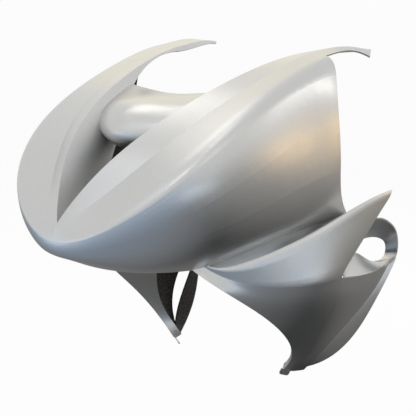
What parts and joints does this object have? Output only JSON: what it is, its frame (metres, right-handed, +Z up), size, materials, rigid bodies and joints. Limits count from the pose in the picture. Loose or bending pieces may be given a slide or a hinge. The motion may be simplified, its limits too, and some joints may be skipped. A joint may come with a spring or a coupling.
{
  "type": "motorcycle fairing",
  "caption": "Silver upper fairing for a sports motorcycle, moulded as one thin shell with a V-shaped air intake, windscreen arms, side blades and vents.",
  "frame": {"origin": "middle of the bridge's lower rear edge, over the intake, where the bike's stay carries it", "axes": "+X to the bike's left, +Y to the rear, +Z up"},
  "size_m": [0.4902, 0.596, 0.5457],
  "materials": {
    "silver_laminate": "satin silver paint on glass fibre"
  },
  "bodies": {
    "root": {"fairing_shell": "silver_laminate"}
  },
  "joints": []
}
